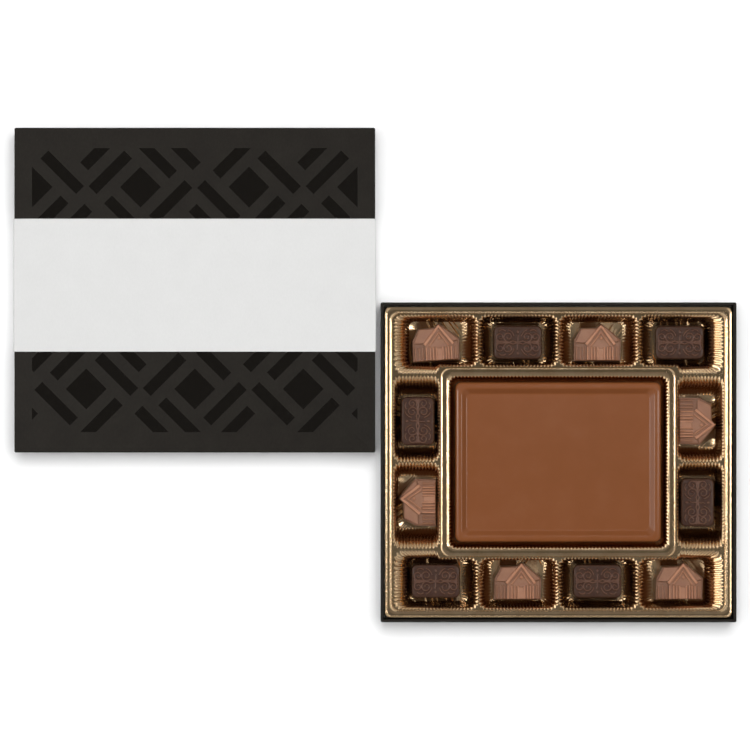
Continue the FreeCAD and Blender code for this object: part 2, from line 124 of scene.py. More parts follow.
# %% Node and colour helpers
TONE_STOPS = (0.3, 0.5, 0.7)    # where a noise's dark, middle and pale tones lie
# a Mix node's sockets by number, because several of them share a name
FACTOR, VALUE_A, VALUE_B, COLOUR_A, COLOUR_B, VALUE_OUT, COLOUR_OUT = 0, 2, 3, 6, 7, 0, 2


def colour(hex_code):
    """A hex colour as linear red, green, blue and alpha."""
    parts = [int(hex_code[i:i + 2], 16) / 255 for i in (1, 3, 5)]
    return [v / 12.92 if v <= 0.04045 else ((v + 0.055) / 1.055) ** 2.4 for v in parts] + [1.0]


def add_node(tree, kind, inputs=None, stops=(), **settings):
    """Adds one node, sets its options, fills or links its inputs, and spreads its colour stops."""
    node = tree.nodes.new(kind)
    for name, value in settings.items():
        setattr(node, name, value)
    for socket, value in (inputs or {}).items():
        if isinstance(value, bpy.types.NodeSocket):
            tree.links.new(value, node.inputs[socket])
        else:
            node.inputs[socket].default_value = value
    if stops:
        elements = node.color_ramp.elements
        while len(elements) < len(stops):
            elements.new(0.5)
        for element, (position, code) in zip(elements, stops):
            element.position, element.color = position, colour(code)
    return node


def new_finish(name, **values):
    """A material with its shader set, and the tree and Object coordinates to build on."""
    finish = bpy.data.materials.new(name)
    finish.use_nodes = True
    tree = finish.node_tree
    shader = tree.nodes["Principled BSDF"]
    for socket, value in values.items():
        shader.inputs[socket.replace("_", " ")].default_value = value
    place = add_node(tree, "ShaderNodeTexCoord").outputs["Object"]
    return finish, tree, shader, place

# %% [markdown]
# ## Floor and light
#
# The photograph was taken on a white sweep that is bright enough to lose its edge. Most light
# falls from straight above, and a key a little to the back throws a short soft shadow to the
# front. What the gold mirrors is another matter: narrow lights between pale reflectors stand at
# both sides, brighter at the left, and overhead it is dim round the camera. So the two large
# lamps light the surfaces without showing in the gold, and the sky and three strips show there.

# %% Floor and light
FLOOR_SIZE, FLOOR_GRAIN_MM, SKY_STRENGTH = 6, 60, 2.2
# the lamps' places from the middle of the set, sizes, watts, and whether gold and gloss mirror them
LAMPS = [("overhead_fill", 0.0, 0.0, 2.6, 2.0, 2.0, 38, False),
         ("high_back_key", 0.12, 0.5, 2.3, 0.9, 0.9, 30, False),
         ("left_strip", -1.5, 0.0, 1.8, 0.16, 1.6, 9, True),
         ("right_strip", 1.4, 0.0, 1.9, 0.16, 1.6, 6, True),
         ("back_strip", 0.0, 1.4, 1.9, 1.6, 0.14, 2.5, True)]
bpy.context.scene.view_settings.view_transform = "Standard"

bpy.ops.object.select_all(action="DESELECT")
bpy.ops.mesh.primitive_plane_add(size=FLOOR_SIZE, location=(middle.x, middle.y, 0))
floor = bpy.context.object
floor.name = "white_sweep"
sweep, tree, shader, place = new_finish("matt_white_sweep", Roughness=0.9)
blotches = add_node(tree, "ShaderNodeTexNoise", {"Vector": place, "Scale": 1 / (FLOOR_GRAIN_MM * MM)})
white = add_node(tree, "ShaderNodeValToRGB", {"Fac": blotches.outputs["Fac"]},
                 stops=[(0.3, "#F8F8F8"), (0.7, "#FBFBFB")])
tree.links.new(white.outputs["Color"], shader.inputs["Base Color"])
floor.data.materials.append(sweep)
floor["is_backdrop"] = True

sky = bpy.data.worlds.new("studio_sky")
sky.use_nodes = True
bpy.context.scene.world = sky
tree = sky.node_tree
direction = add_node(tree, "ShaderNodeTexCoord").outputs["Generated"]
parts = add_node(tree, "ShaderNodeSeparateXYZ", {"Vector": direction}).outputs
across, back = (add_node(tree, "ShaderNodeMapRange", {
    "Value": parts[axis], "From Min": -1.0, "From Max": 1.0}).outputs["Result"] for axis in ("X", "Y"))
reflectors = add_node(tree, "ShaderNodeValToRGB", {"Fac": across}, stops=[
    (0.0, "#FFFFFF"), (0.06, "#F0F0F0"), (0.14, "#909090"), (0.32, "#949494"),
    (0.41, "#3A3A3A"), (0.59, "#363636"), (0.69, "#8A8A8A"), (1.0, "#585858")])
ends = add_node(tree, "ShaderNodeValToRGB", {"Fac": back}, stops=[
    (0.0, "#404040"), (0.3, "#464646"), (0.468, "#3C3C3C"), (0.484, "#0C0C0C"),
    (0.54, "#0A0A0A"), (0.68, "#4A4A4A"), (1.0, "#525252")])
glow = add_node(tree, "ShaderNodeMix", {
    FACTOR: 1.0, COLOUR_A: reflectors.outputs["Color"], COLOUR_B: ends.outputs["Color"]},
    data_type="RGBA", blend_type="ADD")
tree.links.new(glow.outputs[COLOUR_OUT], tree.nodes["Background"].inputs["Color"])
tree.nodes["Background"].inputs["Strength"].default_value = SKY_STRENGTH
sky.cycles_visibility.diffuse = False

for name, x, y, z, width, length, power, mirrored in LAMPS:
    bpy.ops.object.light_add(type="AREA", location=(middle.x + x, middle.y + y, z))
    light = bpy.context.object
    light.name = name
    light.data.shape = "RECTANGLE"
    light.data.size, light.data.size_y, light.data.energy = width, length, power
    light.visible_glossy = mirrored
    aim = Vector((middle.x, middle.y, 0)) - light.location
    light.rotation_euler = aim.to_track_quat("-Z", "Y").to_euler()
print("floor, sky and", len(LAMPS), "soft lights are set")

# %% [markdown]
# ## Modelling helpers
#
# Pieces are shaped as by hand: add a primitive, go into edit mode, select faces or edges by
# where they are, and run an operator on them. These few functions do the selecting and the
# applying, so that each later cell shows only the shaping.

# %% Modelling helpers
FACING = 0.9    # a normal this close to an axis counts as facing along it
STRAIGHT = 0.99    # an edge runs along an axis if this share of its length does
MERGE = 1e-6    # points closer than this, in metres, count as one


def start_clean():
    """Leaves edit mode and deselects everything, so an operator touches only the new piece."""
    if bpy.context.object and bpy.context.object.mode != "OBJECT":
        bpy.ops.object.mode_set(mode="OBJECT")
    bpy.ops.object.select_all(action="DESELECT")


def named(name):
    """Names the primitive that was just added."""
    piece = bpy.context.object
    piece.name = piece.data.name = name
    return piece


def choose(piece):
    """Makes one piece the selected and active one."""
    start_clean()
    piece.select_set(True)
    bpy.context.view_layer.objects.active = piece


def edit(piece):
    choose(piece)
    bpy.ops.object.mode_set(mode="EDIT")


def settle(piece):
    """Puts a piece's place, turn and scale into its mesh."""
    choose(piece)
    bpy.ops.object.transform_apply(location=True, rotation=True, scale=True)


def coat(piece, finish):
    """Gives a piece one material."""
    piece.data.materials.clear()
    piece.data.materials.append(finish)


def pick(piece, kind, test):
    """In edit mode, selects the vertices, edges or faces that pass the test."""
    bpy.ops.mesh.select_mode(type=kind)
    bpy.ops.mesh.select_all(action="DESELECT")
    mesh = bmesh.from_edit_mesh(piece.data)
    for item in {"VERT": mesh.verts, "EDGE": mesh.edges, "FACE": mesh.faces}[kind]:
        item.select_set(bool(test(item)))
    mesh.select_flush_mode()
    bmesh.update_edit_mesh(piece.data)


def apply_modifier(piece, kind, **settings):
    choose(piece)
    modifier = piece.modifiers.new(kind.lower(), kind)
    for name, value in settings.items():
        setattr(modifier, name, value)
    bpy.ops.object.modifier_apply(modifier=modifier.name)


def block(name, low, high):
    """A cube scaled to fill a box, with its place put into its mesh."""
    start_clean()
    low, high = Vector(low), Vector(high)
    bpy.ops.mesh.primitive_cube_add(size=1, location=(low + high) / 2, scale=high - low)
    bpy.ops.object.transform_apply(location=True, rotation=True, scale=True)
    return named(name)


def copied(piece, name):
    """Another piece of the same shape with a mesh of its own."""
    twin = piece.copy()
    twin.data = piece.data.copy()
    twin.name = twin.data.name = name
    bpy.context.collection.objects.link(twin)
    return twin


def joined(name, pieces):
    start_clean()
    for piece in pieces:
        piece.select_set(True)
    bpy.context.view_layer.objects.active = pieces[0]
    if len(pieces) > 1:
        bpy.ops.object.join()
    return named(name)


def outward(piece):
    """Merges doubles and turns every face outwards."""
    edit(piece)
    bpy.ops.mesh.select_all(action="SELECT")
    bpy.ops.mesh.remove_doubles(threshold=MERGE)
    bpy.ops.mesh.normals_make_consistent(inside=False)
    start_clean()


def smooth(piece, angle=35):
    choose(piece)
    bpy.ops.object.shade_smooth_by_angle(angle=math.radians(angle))


def place_on(piece, body, slot, *nodes):
    """Says which body the piece rides on and which nodes it stands for. Its slot is not used."""
    start_clean()
    if nodes:
        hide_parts(*nodes)
    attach(piece, body)
    print(piece.name, "has", len(piece.data.polygons), "faces and rides on", body)


def edge_middle(edge):
    return (edge.verts[0].co + edge.verts[1].co) / 2


def runs_along(edge, axis):
    """True for an edge that runs along one axis: 0 is x, 1 is y, 2 is z."""
    step = edge.verts[1].co - edge.verts[0].co
    return abs(step[axis]) > STRAIGHT * step.length

# %% [markdown]
# ## Board trays, corner tape and wrap paper
#
# A set-up box is grey board folded into a tray, its corners held with paper tape, and then
# covered with paper that goes over the rim and is turned in. A cube with one side inset and
# pushed in makes a tray. The wrap is the same shape as an open sheet with thickness added
# behind it. Bevels round the folds, since paper over board never makes a knife edge.

# %% Board trays, corner tape and wrap paper
WRAP, TAPE, TURN_IN, STAY_LEG = 0.15 * MM, 0.10 * MM, 15 * MM, 10 * MM
CORNER_ROUND, FOLD_ROUND = 0.9 * MM, 0.4 * MM
CORNER_STEPS, FOLD_STEPS = 4, 3
TINY = 0.02 * MM
FULL_HEIGHT = 0.9    # an upright edge longer than this share of the box is a corner
SHARP_TURN = 1.0     # radians between two faces that meet at a fold


def grown(box, amount):
    step = Vector((amount, amount, amount))
    return Vector(box[0]) - step, Vector(box[1]) + step


def opened(name, box, wall, depth, opens_up, leave_floor):
    """A block with its open side inset by the wall and pushed in by the depth."""
    piece = block(name, *box)
    edit(piece)
    side = 1 if opens_up else -1
    pick(piece, "FACE", lambda face: face.normal.z * side > FACING)
    bpy.ops.mesh.inset(thickness=wall)
    bpy.ops.mesh.extrude_region_move(TRANSFORM_OT_translate={"value": (0, 0, -side * depth)})
    if not leave_floor:
        bpy.ops.mesh.delete(type="FACE")
    return piece


def on_side(co, box, margin):
    """True where a point lies on the box's upright sides."""
    low, high = box
    return min(co.x - low.x, high.x - co.x, co.y - low.y, high.y - co.y) < margin


def round_folds(piece, box, corner, fold):
    """Rounds the upright corners, then the edges that go round the rim and the flat side."""
    edit(piece)
    low, high = box
    pick(piece, "EDGE", lambda e: runs_along(e, 2) and on_side(edge_middle(e), box, TINY)
         and e.calc_length() > FULL_HEIGHT * (high.z - low.z))
    bpy.ops.mesh.bevel(offset=corner, segments=CORNER_STEPS, affect="EDGES")
    pick(piece, "EDGE", lambda e: abs(e.verts[0].co.z - e.verts[1].co.z) < TINY and min(
        abs(e.verts[0].co.z - low.z), abs(e.verts[0].co.z - high.z)) < TINY
         and e.calc_face_angle(0) > SHARP_TURN)
    bpy.ops.mesh.bevel(offset=fold, segments=FOLD_STEPS, affect="EDGES")
    start_clean()


def board_tray(name, box, board, opens_up):
    inner = grown(box, -WRAP - TAPE)
    low, high = inner
    depth = (high.z - low.z) - board + TAPE
    piece = opened(name, inner, board - TAPE, depth, opens_up, leave_floor=True)
    round_folds(piece, inner, CORNER_ROUND - WRAP - TAPE, FOLD_ROUND - WRAP - TAPE)
    outward(piece)
    smooth(piece)
    return piece


def wrap_sheet(name, box, wall, opens_up):
    piece = opened(name, box, wall, TURN_IN, opens_up, leave_floor=False)
    round_folds(piece, (Vector(box[0]), Vector(box[1])), CORNER_ROUND, FOLD_ROUND)
    apply_modifier(piece, "SOLIDIFY", thickness=WRAP, offset=-1.0, use_even_offset=True)
    smooth(piece)
    return piece


def corner_tape(name, box, z_low, z_high):
    """Four strips of tape, each folded round a corner just under the wrap."""
    low, high = grown(box, -WRAP)
    strips = []
    for x, inward_x in ((low.x, 1), (high.x, -1)):
        for y, inward_y in ((low.y, 1), (high.y, -1)):
            ends = sorted((x, x + inward_x * STAY_LEG)), sorted((y, y + inward_y * STAY_LEG))
            strip = block(name, (ends[0][0], ends[1][0], z_low), (ends[0][1], ends[1][1], z_high))
            edit(strip)
            pick(strip, "FACE", lambda f: max(f.normal.x * inward_x, f.normal.y * inward_y,
                                               abs(f.normal.z)) > FACING)
            bpy.ops.mesh.delete(type="FACE")
            pick(strip, "EDGE", lambda e: len(e.link_faces) == 2)
            bpy.ops.mesh.bevel(offset=CORNER_ROUND - WRAP, segments=CORNER_STEPS, affect="EDGES")
            apply_modifier(strip, "SOLIDIFY", thickness=TAPE, offset=-1.0, use_even_offset=True)
            strips.append(strip)
    piece = joined(name, strips)
    smooth(piece)
    return piece


BASE_BOARD, LID_BOARD = 1.2 * MM, 0.8 * MM
base_box, lid_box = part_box("base_wrap"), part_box("lid_wrap")
base_tape_box, lid_tape_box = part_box("base_corner_stays"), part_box("lid_corner_stays")
base_tray = board_tray("base_board_tray", base_box, BASE_BOARD, opens_up=True)
lid_tray = board_tray("lid_board_tray", lid_box, LID_BOARD, opens_up=False)
base_tape = corner_tape("base_corner_tape", base_box, base_tape_box[0].z + FOLD_ROUND,
                        base_tape_box[1].z - FOLD_ROUND)
lid_tape = corner_tape("lid_corner_tape", lid_box, lid_tape_box[0].z + FOLD_ROUND,
                       lid_tape_box[1].z - FOLD_ROUND)
base_paper = wrap_sheet("base_wrap_paper", base_box, BASE_BOARD + 2 * WRAP, opens_up=True)
lid_paper = wrap_sheet("lid_wrap_paper", lid_box, LID_BOARD + 2 * WRAP, opens_up=False)
place_on(base_tray, "base", "grey_board", "base_board")
place_on(lid_tray, "lid", "grey_board", "lid_board")
place_on(base_tape, "base", "tape_paper", "base_corner_stays")
place_on(lid_tape, "lid", "tape_paper", "lid_corner_stays")
place_on(base_paper, "base", "dark_wrap_paper", "base_wrap")
place_on(lid_paper, "lid", "dark_wrap_paper", "lid_wrap")

# %% [markdown]
# ## Paper and board finishes
#
# Grey board is pressed from recycled fibre, so it is dull and speckled. The wrap is a coated
# paper dyed nearly black, with a soft matt film that scatters light. Both are dielectrics and
# rough. Their fibres are finer than a pixel, so they are drawn about a millimetre long.

# %% Paper and board finishes
FIBRE_STRETCH, BROAD_TIMES, BROAD_SHARE = (1, 0.45, 1), 14, 0.35


def paper_like(name, codes, fibre_mm, bump_mm, **values):
    """A fibrous sheet: three tones in two sizes of grain, and a shallow bump from the finer one."""
    finish, tree, shader, place = new_finish(name, IOR=1.5, **values)
    stretched = add_node(tree, "ShaderNodeMapping", {"Vector": place, "Scale": FIBRE_STRETCH})
    fine = add_node(tree, "ShaderNodeTexNoise", {
        "Vector": stretched.outputs["Vector"], "Scale": 1 / (fibre_mm * MM), "Detail": 3.0}).outputs["Fac"]
    broad = add_node(tree, "ShaderNodeTexNoise", {
        "Vector": place, "Scale": 1 / (fibre_mm * BROAD_TIMES * MM), "Detail": 1.0}).outputs["Fac"]
    both = add_node(tree, "ShaderNodeMix", {
        FACTOR: BROAD_SHARE, VALUE_A: fine, VALUE_B: broad}).outputs[VALUE_OUT]
    tone = add_node(tree, "ShaderNodeValToRGB", {"Fac": both}, stops=list(zip(TONE_STOPS, codes)))
    tree.links.new(tone.outputs["Color"], shader.inputs["Base Color"])
    bump = add_node(tree, "ShaderNodeBump", {"Strength": 0.6, "Distance": bump_mm * MM, "Height": fine})
    tree.links.new(bump.outputs["Normal"], shader.inputs["Normal"])
    return finish


grey_board = paper_like("grey_chipboard", ("#77736B", "#8D8981", "#A19C92"), 0.7, 0.03, Roughness=0.92)
gummed_tape = paper_like("gummed_kraft_tape", ("#A88F6A", "#B79D77", "#C3AB86"), 0.9, 0.02, Roughness=0.75)
dark_wrap = paper_like("soft_matt_wrap_paper", ("#171411", "#1B1814", "#1F1C18"), 0.9, 0.012,
                       Roughness=0.55, Specular_IOR_Level=0.15)
for piece, finish in ((base_tray, grey_board), (lid_tray, grey_board), (base_tape, gummed_tape),
                      (lid_tape, gummed_tape), (base_paper, dark_wrap), (lid_paper, dark_wrap)):
    coat(piece, finish)

# %% [markdown]
# ## The glossy lattice on the lid
#
# A clear varnish is printed on the matt lid in a diagonal basket weave: small squares stand on
# a corner, four bars run round each like the arms of a pinwheel, and pairs of bars lie between
# them. There are two panels, at the back and at the front, half a repeat apart. One bar and one
# square are modelled as a thin film, copied over a panel and cut off square at its edges. Real
# film catches the light, so it is geometry, not paint.

# %% The glossy lattice on the lid
FILM, VARNISH_GRAIN_MM = 0.02 * MM, 2.2
BAR_LONG, BAR_WIDE, SQUARE_SIDE = 27.6 * MM, 6.1 * MM, 15.84 * MM
REPEAT, ARM_OFFSET, ARM_SHIFT, PAIR_OFFSET = 59.6 * MM, 17.45 * MM, 6.0 * MM, 12.2 * MM
PRINT_HALF_X, PRINT_HALF_Y, PANEL_END, SLIVER = 89.4 * MM, 78.0 * MM, 22.0 * MM, 2.5 * MM
# each panel's side, the place of its row of squares, its shift along the row, and which way it turns
PANELS = [(1, 56.6 * MM, 0.5, 1), (-1, -54.3 * MM, 0.0, -1)]

lid_middle = (Vector(lid_box[0]) + Vector(lid_box[1])) / 2
lid_top = lid_box[1].z
film_bar = block("film_bar", (-BAR_LONG / 2, -BAR_WIDE / 2, lid_top),
                 (BAR_LONG / 2, BAR_WIDE / 2, lid_top + FILM))
film_square = block("film_square", (-SQUARE_SIDE / 2, -SQUARE_SIDE / 2, lid_top),
                    (SQUARE_SIDE / 2, SQUARE_SIDE / 2, lid_top + FILM))
DIAGONAL = math.sqrt(0.5)
films = []


def lay_film(source, x, y, degrees):
    film = copied(source, "film_piece")
    film.location, film.rotation_euler = (x, y, 0), (0, 0, math.radians(degrees))
    films.append(film)


def lay_pinwheel(x, y, hand):
    """A square with its four arms, turned to the left or right."""
    lay_film(film_square, x, y, 45)
    for side_x, side_y in ((-1, 1), (-1, -1), (1, -1), (1, 1)):
        slope = -side_x * side_y
        shift = -ARM_SHIFT * hand * side_y
        along = (DIAGONAL, DIAGONAL * slope)
        lay_film(film_bar, x + side_x * DIAGONAL * ARM_OFFSET + along[0] * shift,
                 y + side_y * DIAGONAL * ARM_OFFSET + along[1] * shift, 45 * slope)


def cut_away(piece, axis, at, side):
    """Cuts off what lies beyond a place on one axis."""
    edit(piece)
    bpy.ops.mesh.select_all(action="SELECT")
    edge, facing = Vector((0, 0, 0)), Vector((0, 0, 0))
    edge[axis], facing[axis] = at, side
    bpy.ops.mesh.bisect(plane_co=edge, plane_no=facing, clear_outer=True, use_fill=True)


panels = []
for side, row_at, column_shift, turn in PANELS:
    films.clear()
    for row in (-1, 0, 1):
        for column in range(-2, 3):
            # the pinwheels turn by turns left and right
            hand = turn if column % 2 else -turn
            x = lid_middle.x + (column + column_shift) * REPEAT
            y = lid_middle.y + row_at + row * REPEAT
            lay_pinwheel(x, y, hand)
            lean = hand * turn
            for half in (-1, 1):
                step = half * PAIR_OFFSET * DIAGONAL
                lay_film(film_bar, x + REPEAT / 2 + step, y + REPEAT / 2 + step * lean, -45 * lean)
    panel = joined("lattice_panel", films)
    settle(panel)
    for axis, at, outward_side in ((0, -PRINT_HALF_X, -1), (0, PRINT_HALF_X, 1),
                                   (1, side * PRINT_HALF_Y, side), (1, side * PANEL_END, -side)):
        cut_away(panel, axis, lid_middle[axis] + at, outward_side)
    panels.append(panel)
for source in (film_bar, film_square):
    bpy.data.objects.remove(source)
lattice = joined("lid_lattice_varnish", panels)
edit(lattice)
bpy.ops.mesh.separate(type="LOOSE")
start_clean()
loose = [piece for piece in bpy.data.objects if piece.name.startswith("lid_lattice_varnish")]
kept = [piece for piece in loose if max(piece.dimensions) > SLIVER]
for piece in loose:
    if piece not in kept:
        bpy.data.objects.remove(piece)
lattice = joined("lid_lattice_varnish", kept)
outward(lattice)
print("the lattice has", len(kept), "films")

varnish, tree, shader, place = new_finish("clear_gloss_varnish", Roughness=0.12, IOR=1.5)
skin = add_node(tree, "ShaderNodeTexNoise", {
    "Vector": place, "Scale": 1 / (VARNISH_GRAIN_MM * MM), "Detail": 1.0}).outputs["Fac"]
tone = add_node(tree, "ShaderNodeValToRGB", {"Fac": skin}, stops=[(0.3, "#0B0805"), (0.7, "#0F0C08")])
tree.links.new(tone.outputs["Color"], shader.inputs["Base Color"])
bump = add_node(tree, "ShaderNodeBump", {"Strength": 0.2, "Distance": 0.01 * MM, "Height": skin})
tree.links.new(bump.outputs["Normal"], shader.inputs["Normal"])
coat(lattice, varnish)
place_on(lattice, "lid", "dark_wrap_paper")

# %% [markdown]
# ## The belly band
#
# The band is a strip of smooth white paper folded round the lid and glued to itself under it.
# A cube without its two open ends is already that loop. Its four folds are bevelled, and the
# paper's thickness is added inwards, a little thinner than the slot so that it clears the film.

# %% The belly band
BAND_PAPER, BAND_FOLD = 0.25 * MM, 0.7 * MM
band = block("belly_band_paper", *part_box("belly_band"))
edit(band)
pick(band, "FACE", lambda face: abs(face.normal.y) > FACING)
bpy.ops.mesh.delete(type="FACE")
pick(band, "EDGE", lambda e: runs_along(e, 1))
bpy.ops.mesh.bevel(offset=BAND_FOLD, segments=CORNER_STEPS, affect="EDGES")
apply_modifier(band, "SOLIDIFY", thickness=BAND_PAPER, offset=-1.0, use_even_offset=True)
smooth(band)
band_paper = paper_like("smooth_uncoated_band_paper", ("#CCCCCB", "#CECECD", "#D0D0CF"), 0.8, 0.006,
                        Roughness=0.8)
coat(band, band_paper)
place_on(band, "band", "band_paper", "belly_band")

# %% [markdown]
# ## Rings of points
#
# The bar, the dark chocolates and the insert are all rounded rectangles that change size with
# height. A lathe can't make them, and a cube has too few corners. So a circle's points are laid
# on a rounded rectangle, and its edge is extruded again and again, each time onto the next
# ring. A ring may also wave in and out, four points to a wave, and that gives the flutes.

# %% Rings of points
WAVE = (0.0, 1.0, 0.0, -1.0)


def ring(x0, x1, y0, y1, corner, z, flutes=(1, 1, 1, 1), corner_flutes=3, depth=0.0):
    """Points round a rounded rectangle from its right side on, four to a flute.

    The depth of the flutes is one value, or one for each side, in the order right, back, left, front.
    """
    depths = depth if isinstance(depth, list) else [depth] * 4
    sides = [((x1, y0 + corner), (0, 1), y1 - y0, (x1 - corner, y1 - corner)),
             ((x1 - corner, y1), (-1, 0), x1 - x0, (x0 + corner, y1 - corner)),
             ((x0, y1 - corner), (0, -1), y1 - y0, (x0 + corner, y0 + corner)),
             ((x0 + corner, y0), (1, 0), x1 - x0, (x1 - corner, y0 + corner))]
    points = []
    for turn, (((x, y), step, length, bend), count) in enumerate(zip(sides, flutes)):
        out = Vector((step[1], -step[0]))
        for k in range(4 * count):
            along, wave = (length - 2 * corner) * k / (4 * count), depths[turn] * WAVE[k % 4]
            points.append(Vector((x + step[0] * along + out.x * wave, y + step[1] * along + out.y * wave, z)))
        for k in range(4 * corner_flutes):
            share = k / (4 * corner_flutes)
            angle = math.radians(90 * (turn + share))
            reach = corner + WAVE[k % 4] * (depths[turn] * (1 - share) + depths[(turn + 1) % 4] * share)
            points.append(Vector((bend[0] + math.cos(angle) * reach, bend[1] + math.sin(angle) * reach, z)))
    return points


def stack(name, rings, close_first=False, close_last=False):
    """A skin through rings with equal numbers of points, from the first to the last."""
    start_clean()
    bpy.ops.mesh.primitive_circle_add(vertices=len(rings[0]), radius=MM)
    piece = named(name)
    spots = piece.data.attributes.new("spot", "INT", "POINT")
    for index, point in enumerate(rings[0]):
        piece.data.vertices[index].co = point
        spots.data[index].value = index
    edit(piece)
    bpy.ops.mesh.select_mode(type="EDGE")
    bpy.ops.mesh.select_all(action="SELECT")
    for points in rings[1:]:
        bpy.ops.mesh.extrude_region_move()
        mesh = bmesh.from_edit_mesh(piece.data)
        layer = mesh.verts.layers.int["spot"]
        for vertex in mesh.verts:
            if vertex.select:
                vertex.co = points[vertex[layer]]
        bmesh.update_edit_mesh(piece.data)
    if close_last:
        bpy.ops.mesh.edge_face_add()
    if close_first:
        first = rings[0][0].z
        pick(piece, "EDGE", lambda e: len(e.link_faces) == 1 and abs(edge_middle(e).z - first) < MERGE)
        bpy.ops.mesh.edge_face_add()
    start_clean()
    piece.data.attributes.remove(piece.data.attributes["spot"])
    return piece

# %% [markdown]
# ## Milk and dark chocolate
#
# Tempered chocolate sets against a polished mould, so it has a low satin shine over a colour
# that is nearly even, with faint clouds where the cocoa butter set. It is a dielectric with an
# IOR near 1.46. Small bubbles and scuffs give a shallow bump about a millimetre wide. On the
# relief pieces the colour also follows the height above the well's floor, as painted light:
# a painted highlight makes what stands proud paler, and painted shade darkens the hollows.

# %% Milk and dark chocolate
WELL_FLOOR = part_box("dark_chocolate_1")[0].z
SCUFF_MM, SHINE_CHANGE = 0.9, 0.02


def chocolate(name, codes, cloud_mm, painted_relief_light=None, **values):
    """A chocolate in three tones. The painted relief light gives two heights in mm and the shades at and
    between them: painted shade low down, a painted highlight high up.
    """
    finish, tree, shader, place = new_finish(name, IOR=1.46, **values)
    cloud = add_node(tree, "ShaderNodeTexNoise", {
        "Vector": place, "Scale": 1 / (cloud_mm * MM), "Detail": 3.0, "Roughness": 0.6}).outputs["Fac"]
    ramp = add_node(tree, "ShaderNodeValToRGB", {"Fac": cloud}, stops=list(zip(TONE_STOPS, codes)))
    tone = ramp.outputs["Color"]
    # painted light: the colour is darkened low down as painted shade and made paler high up as a painted
    # highlight
    if painted_relief_light:
        low, high, shades = painted_relief_light
        height = add_node(tree, "ShaderNodeSeparateXYZ", {"Vector": place}).outputs["Z"]
        share = add_node(tree, "ShaderNodeMapRange", {
            "Value": height, "From Min": WELL_FLOOR + low * MM, "From Max": WELL_FLOOR + high * MM})
        shade = add_node(tree, "ShaderNodeValToRGB", {"Fac": share.outputs["Result"]},
                         stops=list(zip((0.0, 0.5, 1.0), shades)))
        overlay = add_node(tree, "ShaderNodeMix", {
            FACTOR: 1.0, COLOUR_A: tone, COLOUR_B: shade.outputs["Color"]},
            data_type="RGBA", blend_type="OVERLAY")
        tone = overlay.outputs[COLOUR_OUT]
    tree.links.new(tone, shader.inputs["Base Color"])
    scuff = add_node(tree, "ShaderNodeTexNoise", {
        "Vector": place, "Scale": 1 / (SCUFF_MM * MM)}).outputs["Fac"]
    shine = add_node(tree, "ShaderNodeMapRange", {
        "Value": cloud, "From Min": 0.3, "From Max": 0.7,
        "To Min": values["Roughness"] - SHINE_CHANGE, "To Max": values["Roughness"] + SHINE_CHANGE})
    tree.links.new(shine.outputs["Result"], shader.inputs["Roughness"])
    bump = add_node(tree, "ShaderNodeBump", {"Strength": 0.2, "Distance": 0.05 * MM, "Height": scuff})
    tree.links.new(bump.outputs["Normal"], shader.inputs["Normal"])
    return finish


# the house's low parts get painted shade and its raised relief a painted highlight
light_milk = chocolate("milk_chocolate_satin_painted_relief_light", ("#885C44", "#8D6147", "#92664C"), 6,
                       (10.0, 13.0, ("#8A8A8A", "#B0B0B0", "#D0D0D0")), Roughness=0.32)
milk = chocolate("tempered_milk_chocolate", ("#734221", "#754322", "#774524"), 14, Roughness=0.16,
                 Specular_IOR_Level=0.35)
# the dark piece's raised scroll gets a painted highlight
dark = chocolate("dark_chocolate_painted_relief_light", ("#35221A", "#3A261C", "#3F2A1F"), 5,
                 (12.3, 12.9, ("#B8B8B8", "#E0E0E0", "#FFFFFF")), Roughness=0.24, Specular_IOR_Level=0.4)

# %% [markdown]
# ## The centre bar
#
# The bar is cast in a mould: its sides lean in so that it falls out, and a rounded border runs
# round a sunk panel. Each pair below is one ring: how far it stands in from the foot, and how
# far it lies below the top. Rings set close together make the soft rounded edges.

# %% The centre bar
BAR_RINGS = [(0.35, 9.0), (0.05, 8.75), (0.0, 8.4), (0.45, 2.2), (0.6, 1.4), (0.85, 0.82), (1.25, 0.42),
             (1.8, 0.16), (2.4, 0.04), (3.0, 0.0), (3.6, 0.02), (4.0, 0.08), (4.3, 0.22), (6.2, 1.92),
             (6.37, 2.06), (6.55, 2.16), (6.77, 2.24), (7.0, 2.28), (7.3, 2.3), (8.4, 2.26), (9.6, 2.2)]
BAR_CORNER, BAR_CORNER_IN = 3.6 * MM, 2.6 * MM
BAR_SMOOTH_ANGLE = 50

bar_low, bar_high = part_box("centre_bar")
bar_rings = []
for inset_mm, below_mm in BAR_RINGS:
    inset = inset_mm * MM
    corner = BAR_CORNER + (BAR_CORNER_IN - BAR_CORNER) * inset_mm / BAR_RINGS[-1][0]
    bar_rings.append(ring(bar_low.x + inset, bar_high.x - inset, bar_low.y + inset, bar_high.y - inset,
                          corner, bar_high.z - below_mm * MM))
bar = stack("centre_bar_moulded", bar_rings, close_first=True, close_last=True)
outward(bar)
smooth(bar, BAR_SMOOTH_ANGLE)
coat(bar, milk)
place_on(bar, "bar", "milk_chocolate", "centre_bar")

# %% [markdown]
# ## The gold insert
#
# The insert is one sheet of metallised plastic, drawn by vacuum into a mould. Every well has
# upright flutes about two millimetres apart, which stiffen the thin sheet and make it glitter.
# Three kinds of well repeat in the four quarters, each a stack of waving rings from its edge
# down to its floor. Neighbours wave in opposite phase, so each well is stacked for its own
# quarter. A ring's sides move in at their own rates: steep beside the rim and the frame, a
# rounded shoulder at each ridge, a long slope at the ends.

# %% Insert wells
FLUTE, RAIL = 1.95 * MM, 0.6 * MM
tray_low, tray_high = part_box("insert_tray")
PLATE = tray_high.z - RAIL
WELL_CORNER, FLOOR_CORNER = 4.2 * MM, 3.0 * MM
BOWL, RIPPLE, FLOOR_WAVE_MM = 6.0 * MM, 1.6 * MM, 0.3
SINK_RUN, SINK_REACH, SINK_FADE = 3 * MM, 9 * MM, 0.3
